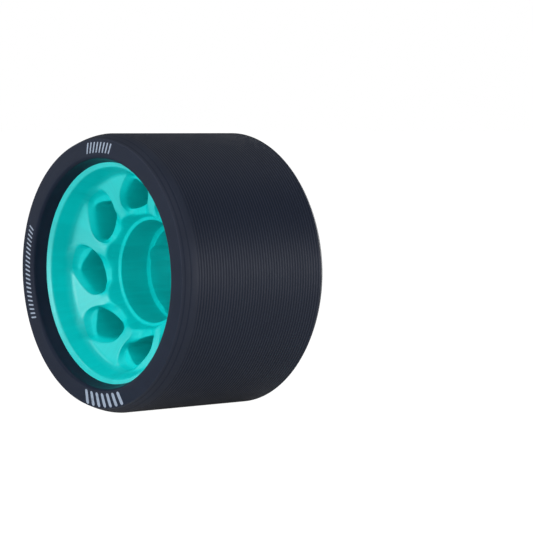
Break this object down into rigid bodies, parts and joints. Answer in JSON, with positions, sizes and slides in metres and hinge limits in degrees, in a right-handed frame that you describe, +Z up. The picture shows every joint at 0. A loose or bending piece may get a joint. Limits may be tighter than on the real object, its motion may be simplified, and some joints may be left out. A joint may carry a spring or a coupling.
{
  "type": "roller skate wheel",
  "caption": "Wide skate wheel: a dark urethane tyre with a finely turned tread, cast round a bright moulded hub with swirl windows, a deep front dish and a bearing seat in each side.",
  "frame": {"origin": "the wheel's centre: on the axle line, halfway between the tyre's side faces", "axes": "+Y along the axle from the dished front side towards the rear side, +Z up. The wheel spins about Y, and its front, with the deep dish, faces -Y"},
  "size_m": [0.059, 0.038, 0.059],
  "materials": {
    "hub": "turquoise injection-moulded nylon, satin gloss, with a trace of the mould's flow",
    "tyre": "navy-black cast urethane, smooth satin side faces, tread turned in fine rings"
  },
  "bodies": {
    "root": {"hub": "hub", "tyre": "tyre"}
  },
  "joints": []
}
